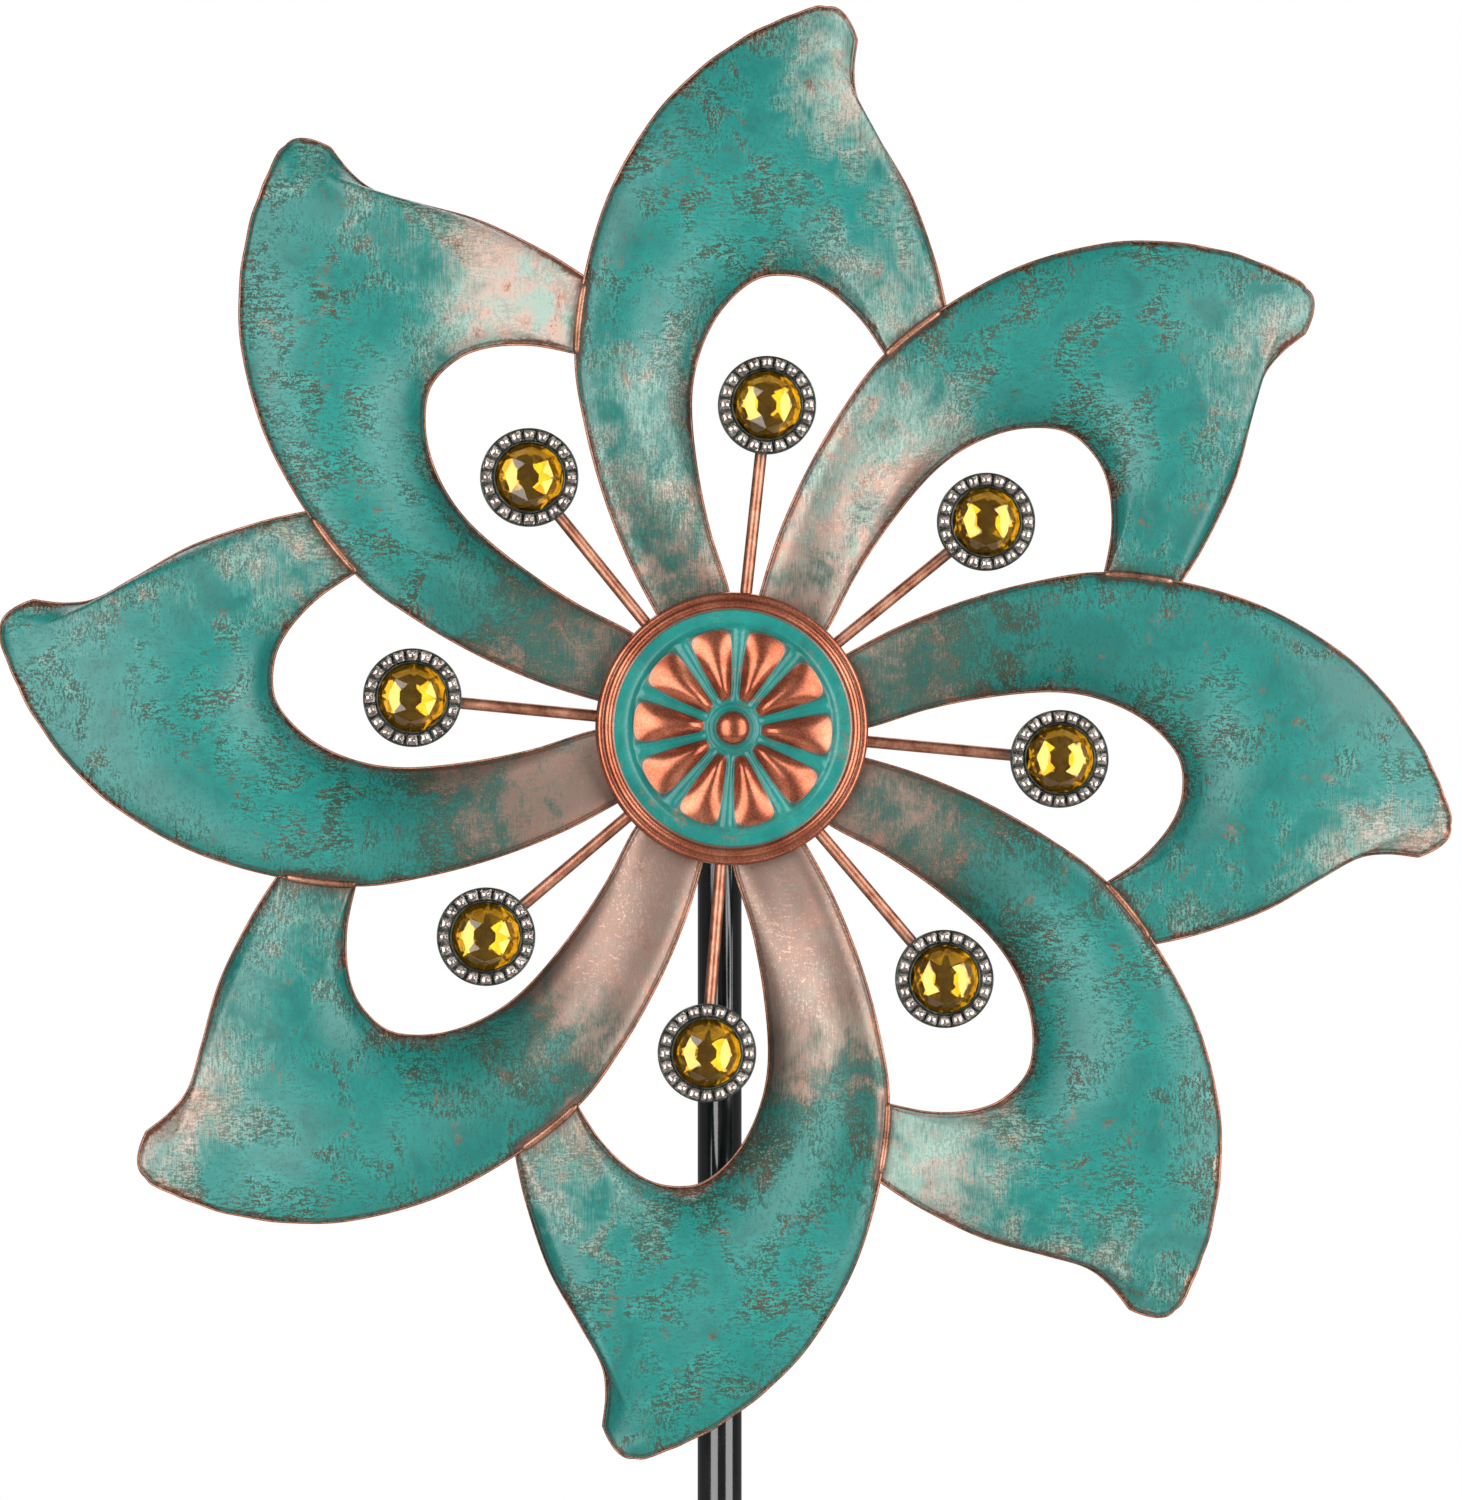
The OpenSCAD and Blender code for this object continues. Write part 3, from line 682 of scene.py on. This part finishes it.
def petal_values(points, edge, stem_copper_and_sheen, stem, heel, tip):
    """Where the copper is bare, where pale pink-white is painted on as a highlight and where painted
    shade darkens the sheet. The copper that the stem shows is set per petal, higher on the lower and left petals,
    partly as real wear and partly to paint those stems brighter as if lit; stem, heel and tip are how much painted
    highlight those parts carry."""
    flat = points.reshape(-1, 3)
    radius = np.hypot(flat[:, 0], flat[:, 1])
    angle = np.degrees(np.arctan2(flat[:, 1], flat[:, 0]))
    own = nearest(points, heel_line(-STEP))
    other = nearest(points, heel_line(0))
    bare = (0.55 + 0.55 * stem_copper_and_sheen) * smoothstep(radius, 175 + 65 * stem_copper_and_sheen, 66 + 20 * stem_copper_and_sheen)
    bare += 0.55 * np.exp(-(other / 5) ** 2) + 0.4 * np.exp(-(own / 7) ** 2)
    # Painted highlight on the heel, along the stem and towards the tip.
    haze = heel * np.exp(-(own / 58) ** 3) + stem * np.exp(-((radius - 116) / 56) ** 4)
    haze += tip * smoothstep(radius, 215, 275) * smoothstep(angle, 9, -3)
    # Painted shade: dark lines 2.2 mm to either side of each heel bead.
    grime = 0.9 * np.exp(-((own - 2.2) / 0.6) ** 2) + 0.9 * np.exp(-((other - 2.2) / 0.7) ** 2)
    return {"edge": edge, "bare": bare, "haze": haze, "grime": grime}


def petal_sheet():
    """The points of one petal's sheet, eased, with each point's distance from the edge."""
    t = np.linspace(0, LAST, LAST * ROWS_PER_SECTION + 1)
    even = np.linspace(0, 1, COLUMNS)
    middle = petal_surface(t, (even + (1 - np.cos(math.pi * even)) / 2) / 2)
    edge = nearest(middle, outline(EDGE_STEPS))
    return eased(middle, edge, EASE_REACH), edge


def add_sheet(shape, sheet, edge, number):
    """The petal's sheet, with the dents and the looks of the petal of that number."""
    values = petal_values(sheet, edge, *LOOKS[number - 1])
    middle = sheet.reshape(-1, 3).copy()
    middle[:, 2] += dents(sheet, edge, number)
    half = np.array([0, 0, SHEET_T / 2])
    values = {name: np.tile(held, 2) for name, held in values.items()}
    shape.add(np.concatenate([middle + half, middle - half]), sheet_faces(*sheet.shape[:2]),
              **values)


def add_rim(shape):
    """The hem rolled round the petal's edge, a thin tube flush with the outline."""
    line = outline(RIM_STEPS)
    along = np.gradient(line, axis=0)
    along /= np.linalg.norm(along, axis=1)[:, None]
    up = np.tile([0.0, 0.0, 1.0], (len(line), 1))
    inward = np.cross(up, along)
    inward /= np.linalg.norm(inward, axis=1)[:, None]
    tube = arc(RIM_R, np.arange(RIM_SIDES) * 360 / RIM_SIDES)
    points, faces = sweep(line + inward * RIM_R * RIM_INSET, inward, up, tube)
    shape.add(points, faces, bare=SOLID_COPPER)


def add_bead(shape):
    """The half-round seam that closes the heel over the next petal's leading edge."""
    line = heel_line(-STEP)
    along = np.gradient(line, axis=0)
    along /= np.linalg.norm(along, axis=1)[:, None]
    up = np.tile([0.0, 0.0, 1.0], (len(line), 1))
    across = np.cross(up, along)
    profile = (arc(BEAD_HALF_W, np.linspace(0, 180, 11), rise=BEAD_H)
               + [(-BEAD_HALF_W, -BEAD_FOOT), (BEAD_HALF_W, -BEAD_FOOT)])
    ends = np.linspace(-1, 1, len(line))
    scale = BEAD_END + (1 - BEAD_END) * np.sqrt(np.clip(1 - np.abs(ends) ** 8, 0, 1))
    points, faces = sweep(line, across, up, profile, scale)
    shape.add(points, faces, bare=SOLID_COPPER, edge=FAR_FROM_EDGE)


# How much copper shows on each petal's stem, higher on the lower and left petals partly to paint
# those stems brighter as if lit, then how much painted highlight its stem, heel and tip carry,
# from petal 1 clockwise
LOOKS = [
    [0.3, 0.5, 0.5, 0.8], [0.45, 0.7, 0.15, 0.6], [0.24, 0.0, 0.2, 0.65],
    [0.4, 0.05, 0.75, 0.35], [1.0, 0.35, 0.5, 0.1], [0.95, 0.25, 0.35, 0.75],
    [0.55, 0.0, 0.45, 0.3], [0.3, 0.0, 1.2, 0.35],
]


def make_petals():
    sheet, edge = petal_sheet()
    for i in range(1, PETALS + 1):
        shape = Shape()
        add_sheet(shape, sheet, edge, i)
        add_rim(shape)
        add_bead(shape)
        shape.points = turned(shape.points, tip_angle(i)).tolist()
        shape.piece(f"petal_skin_{i}", [PATINA], [f"petal_{i}"])


# ---- hub face ----

LOBES = 10
FIRST_RIB = 86.0
STAMPED_R = 43.5
BEADS_FROM_R = 48.0
INNER_BEAD = (51.6, 10.6)
INNER_BEAD_R = 2.0
OUTER_BEAD = (54.6, 9.9)
OUTER_BEAD_R = 1.6
FLOOR_F = 13.0
CHANNEL_F = 11.2
LOBE_R = (11.5, 42.0)
LOBE_H = 3.8
LOBE_CREST = 0.32
RIB_H = 0.8
RING_R = 9.1
RING_H = 1.1
BOSS_R = 7.0
BOSS_H = 4.0
FACE_TURNS = 360


def face_profile():
    """The pressed face from its centre out, over both rolled beads to its back edge."""
    floor = [(r, FLOOR_F) for r in np.arange(0.6, 41.5, 0.6)]
    step = [(42, 12.7), (42.8, 12), (43.6, CHANNEL_F + 0.25), (44.5, CHANNEL_F),
            (47.4, CHANNEL_F), (48.4, CHANNEL_F + 0.1)]
    return (floor + step + arc(INNER_BEAD_R, np.arange(155, 20, -13), INNER_BEAD)
            + arc(OUTER_BEAD_R, np.arange(110, -95, -20), OUTER_BEAD))


def rosette(radius, angle):
    """Height of the lobes, ribs, ring and boss above the face's floor, their copper, and painted shade at the foot
    of each lobe and round the boss.
    """
    pitch = 360 / LOBES
    off_rib = (angle - FIRST_RIB + pitch / 2) % pitch - pitch / 2
    from_rib = radius * np.sin(np.radians(np.abs(off_rib)))
    half_rib = 1.5 + 0.9 * smoothstep(radius, *LOBE_R)
    half_lobe = np.maximum(radius * math.sin(math.radians(pitch / 2)) - half_rib, 0.01)
    side = np.clip((from_rib - half_rib) / half_lobe, 0, 1)
    out = np.clip((radius - LOBE_R[0]) / (LOBE_R[1] - LOBE_R[0]), 0, 1)
    swell = 1 - (1 - side) ** 2
    from_crest = np.where(out < LOBE_CREST, (LOBE_CREST - out) / LOBE_CREST,
                          (out - LOBE_CREST) / (1 - LOBE_CREST))
    lobe = swell * (1 - from_crest ** 2.6)
    rib = RIB_H * np.clip(1 - (from_rib / half_rib) ** 2, 0, 1) * smoothstep(radius, 10, 14)
    rib *= smoothstep(radius, 43, 39)
    ring = RING_H * np.exp(-((radius - RING_R) ** 2))
    boss = BOSS_H * np.sqrt(np.clip(1 - (radius / BOSS_R) ** 2, 0, 1))
    height = LOBE_H * lobe + rib + ring + boss
    copper = np.maximum(smoothstep(lobe, 0.05, 0.2), smoothstep(radius, 7.2, 6.2))
    # Painted shade: a dark line where each lobe rises from the floor, and round the foot of the boss.
    groove_shade = smoothstep(lobe, 0.0, 0.05) * smoothstep(lobe, 0.2, 0.08)
    groove_shade = np.maximum(groove_shade, np.exp(-(((radius - BOSS_R) / 0.5) ** 2)))
    return height, copper, groove_shade


def make_hub_face():
    """The face as one closed shell: a thin stamped sheet whose edge is two rolled beads."""
    profile = np.array(face_profile())
    turns = np.arange(FACE_TURNS) * 360 / FACE_TURNS
    radius, angle = np.meshgrid(profile[:, 0], turns, indexing="ij")
    height, copper, groove_shade = rosette(radius, angle)
    inside = radius < STAMPED_R
    front = profile[:, 1][:, None] + np.where(inside, height, 0)
    front_points = np.stack([radius * np.cos(np.radians(angle)),
                             radius * np.sin(np.radians(angle)), front], axis=-1)
    within = (profile[:, 0] < BEADS_FROM_R).sum()
    back_points = front_points[:within] - [0, 0, SHEET_T]
    shell = np.concatenate([front_points, back_points[::-1]])
    count = shell.shape[0] * FACE_TURNS
    centre_f = FLOOR_F + BOSS_H
    points = np.concatenate([shell.reshape(-1, 3),
                             [[0, 0, centre_f], [0, 0, centre_f - SHEET_T]]])
    last = count - FACE_TURNS
    caps = [(count, k, (k + 1) % FACE_TURNS) for k in range(FACE_TURNS)]
    caps += [(count + 1, last + k, last + (k + 1) % FACE_TURNS) for k in range(FACE_TURNS)]
    bare = SOLID_COPPER * np.where(inside, copper, smoothstep(radius, 49.2, 50.0))
    # Painted shade in the hollow between the two rolled beads, at the inner bead's foot, and at the feet of the
    # rosette's lobes.
    between = np.exp(-(((radius - 53.4) / 0.45) ** 2)) + np.exp(-(((radius - 49.6) / 0.5) ** 2))
    grime = np.where(inside, 0.55 * groove_shade, np.minimum(0.85 * between, 1))

    def spread(held):
        """A value of the front's points, given to the back's and to both centres as well."""
        both = np.concatenate([held, held[:within][::-1]]).ravel()
        return np.concatenate([both, held[0, :1], held[0, :1]])

    shape = Shape()
    shape.add(points, grid(shell.shape[0], FACE_TURNS, around=True) + caps,
              edge=FAR_FROM_EDGE, bare=spread(bare), grime=spread(grime))
    shape.piece("hub_rosette", [HUB_PATINA], ["hub_face"])


# ---- jewels ----

GEM_R = 14.1
GEM_SIDES = 8
GEM_TURN = 19
GEM_SEAT = 3.4
HALO_STONES = 20
HALO_R = 17.4
STONE_R = 2.3
STONE_SUNK = 0.7
SETTING_R = 20.3
SETTING_H = 5.5
CUP_SIDES = 96
PRONG_R = 0.5
PRONG_SIDES = 10
PRONG_INSET = 1.9


def cut_stone(radius, sides, crown, girdle_h, pavilion):
    """A stone with a table, two rows of crown facets, a girdle, two rows of pavilion facets
    and a flat culet. Its girdle's foot is at height 0; the crown's rings are (radius,
    height above the girdle) and the pavilion's are (radius, depth). Crown faces are in
    slot 0 and pavilion faces in slot 1."""
    half = math.pi / sides
    rings = [(crown[0][0], girdle_h + crown[0][1], 0), (crown[1][0], girdle_h + crown[1][1], 1),
             (1, girdle_h, 0), (1, girdle_h, 1), (1, 0, 0), (1, 0, 1),
             (pavilion[0][0], -pavilion[0][1], 1), (pavilion[1][0], -pavilion[1][1], 0)]
    points = [
        (radius * r * math.cos(2 * half * k + half * odd),
         radius * r * math.sin(2 * half * k + half * odd), z)
        for r, z, odd in rings for k in range(sides)
    ]
    t, m, g, h, a, b, p, q = (ring * sides for ring in range(8))
    faces, slots = [tuple(range(sides)), tuple(range(q, q + sides))], [0, 1]
    for k in range(sides):
        n = (k + 1) % sides
        over = [(t + k, m + k, t + n), (m + k, m + n, t + n), (m + k, g + n, m + n),
                (m + k, g + k, h + k), (m + k, h + k, g + n),
                (g + k, a + k, b + k, h + k), (h + k, b + k, a + n, g + n)]
        under = [(a + k, p + k, b + k), (b + k, p + k, a + n), (p + k, a + n, p + n),
                 (p + k, p + n, q + n), (q + k, p + k, q + n)]
        faces += over + under
        slots += [0] * len(over) + [1] * len(under)
    return np.array(points), faces, slots


def make_gems(places):
    shape = Shape()
    cut = cut_stone(GEM_R, GEM_SIDES, ((0.4, 6.0), (0.72, 4.7)), 0.8, ((0.8, 1.0), (0.3, 2.1)))
    for x, y, back in places:
        points = turned(cut[0], GEM_TURN) + [x, y, back + GEM_SEAT]
        shape.add(points, cut[1], slot=cut[2])
    shape.piece("amber_gems_cut", [ENAMELS["amber_gem"], AMBER_FOIL],
                ["amber_gems"], smooth=False)


def make_halo(places):
    """Squarish stones side by side, each a little narrower at its inner end."""
    shape = Shape()
    cut = cut_stone(STONE_R, 8, ((0.6, 1.0), (0.82, 0.7)), 0.3, ((0.75, 0.3), (0.2, 0.65)))
    points = cut[0].copy()
    long_way = np.maximum(np.hypot(points[:, 0], points[:, 1]), 1e-6)
    square = (np.abs(points[:, 0] / long_way) ** 5 + np.abs(points[:, 1] / long_way) ** 5) ** -0.2
    points[:, :2] *= square[:, None]
    points[:, 1] *= 1 + points[:, 0] / HALO_R
    for x, y, back in places:
        for k in range(HALO_STONES):
            stone = turned(points + [HALO_R, 0, SETTING_H - STONE_SUNK], k * 360 / HALO_STONES)
            shape.add(stone + [x, y, back], cut[1], slot=cut[2])
    shape.piece("halo_stones_cut", [ENAMELS["clear_stone"], CLEAR_FOIL],
                ["halo_stones"], smooth=False)


def make_settings(places):
    """Dark cups with a rolled rim, a seat for the gem and prongs between the stones."""
    over = np.linspace(0, 180, 7)
    rim = arc(0.3, over, (SETTING_R - 0.3, SETTING_H + 0.1), rise=0.4)
    lip = arc(0.35, over, (GEM_R + 0.4, SETTING_H + 0.3), rise=0.4)
    profile = ([(0, 0), (SETTING_R - 1.2, 0), (SETTING_R - 0.3, 0.4), (SETTING_R, 1.2)] + rim
               + [(SETTING_R - 0.7, SETTING_H - 2), (GEM_R + 0.8, SETTING_H - 2)] + lip
               + [(GEM_R + 0.05, SETTING_H - 0.4), (GEM_R + 0.05, 1.2), (0, 1.2)])
    cup = revolve(profile, CUP_SIDES)
    prong = revolve(arc(PRONG_R, np.linspace(-90, 90, 6)), PRONG_SIDES)
    for number, (x, y, back) in enumerate(places, start=1):
        shape = Shape()
        shape.add(cup[0] + [x, y, back], cup[1])
        for k in range(HALO_STONES):
            for r in (HALO_R - PRONG_INSET, HALO_R + PRONG_INSET):
                ball = turned(prong[0] + [r, 0, SETTING_H + 0.25], (k + 0.5) * 360 / HALO_STONES)
                shape.add(ball + [x, y, back], prong[1])
        shape.piece(f"jewel_cup_{number}", [ENAMELS["dark_setting"]],
                    [f"jewel_setting_{number}"])


# ---- floor, light and camera ----

CAMERA_AZIMUTH = -3.3
CAMERA_ELEVATION = -1.5
CAMERA_DISTANCE = 2.1
VIEW_HEIGHT = 0.6228
AIM_BELOW_HUB = 0.0087
SENSOR = 36.0
LIGHT_DISTANCE = 2.2
ROOM_STRENGTH = 0.32
FLOOR_R = 1.9


def direction(azimuth, elevation):
    """From the hub towards a place at these angles: azimuth 0 is in front, 90 to the right."""
    a, e = math.radians(azimuth), math.radians(elevation)
    return Vector((math.sin(a) * math.cos(e), -math.cos(a) * math.cos(e), math.sin(e)))


def make_floor():
    lowest = cad_box[0].z
    mesh = bpy.data.meshes.new("floor")
    disc = bmesh.new()
    bmesh.ops.create_circle(disc, cap_ends=True, radius=FLOOR_R, segments=128,
                            matrix=Matrix.Translation((0, 0, lowest)))
    disc.to_mesh(mesh)
    disc.free()
    mesh.materials.append(floor_material())
    floor = bpy.data.objects.new("floor", mesh)
    bpy.context.scene.collection.objects.link(floor)


def softbox(name, azimuth, elevation, width, height, brightness):
    """An area light that faces the hub; its azimuth is counted from the camera's."""
    back = direction(azimuth + CAMERA_AZIMUTH, elevation)
    lamp = bpy.data.lights.new(name, "AREA")
    lamp.shape = "RECTANGLE"
    lamp.size, lamp.size_y = width, height
    lamp.energy = brightness * math.pi * width * height
    thing = bpy.data.objects.new(name, lamp)
    thing.location = HUB + back * LIGHT_DISTANCE
    thing.rotation_mode = "QUATERNION"
    thing.rotation_quaternion = (-back).to_track_quat("-Z", "Y")
    bpy.context.scene.collection.objects.link(thing)


def make_world():
    """White behind the object, and a dim grey room for what it reflects."""
    world = bpy.data.worlds.new("studio")
    world.use_nodes = True
    tree = world.node_tree
    tree.nodes.clear()
    path = tree.nodes.new("ShaderNodeLightPath")
    room = tree.nodes.new("ShaderNodeBackground")
    white = tree.nodes.new("ShaderNodeBackground")
    pick = tree.nodes.new("ShaderNodeMixShader")
    output = tree.nodes.new("ShaderNodeOutputWorld")
    room.inputs["Color"].default_value = linear("#c8cacc")
    room.inputs["Strength"].default_value = ROOM_STRENGTH
    white.inputs["Color"].default_value = (1, 1, 1, 1)
    tree.links.new(path.outputs["Is Camera Ray"], pick.inputs[0])
    tree.links.new(room.outputs[0], pick.inputs[1])
    tree.links.new(white.outputs[0], pick.inputs[2])
    tree.links.new(pick.outputs[0], output.inputs["Surface"])
    bpy.context.scene.world = world


def make_camera():
    back = direction(CAMERA_AZIMUTH, CAMERA_ELEVATION)
    lens = bpy.data.cameras.new("camera")
    lens.sensor_width = SENSOR
    lens.lens = SENSOR * CAMERA_DISTANCE / VIEW_HEIGHT
    camera = bpy.data.objects.new("camera", lens)
    camera.rotation_mode = "QUATERNION"
    camera.rotation_quaternion = (-back).to_track_quat("-Z", "Y")
    up = camera.rotation_quaternion @ Vector((0, 1, 0))
    camera.location = HUB - up * AIM_BELOW_HUB + back * CAMERA_DISTANCE
    bpy.context.scene.collection.objects.link(camera)
    bpy.context.scene.camera = camera


def make_lights():
    softbox("left_box", azimuth=-29, elevation=2, width=1.5, height=2.6, brightness=5.2)
    softbox("right_box", azimuth=53, elevation=4, width=1.6, height=2.6, brightness=5.2)
    softbox("back_box", azimuth=180, elevation=40, width=2.4, height=1.4, brightness=2.6)
    bpy.context.scene.view_settings.view_transform = "Standard"


finish_cad_nodes()
make_petals()
make_hub_face()
JEWELS = jewel_places()
make_gems(JEWELS)
make_halo(JEWELS)
make_settings(JEWELS)
make_floor()
make_world()
make_lights()
make_camera()
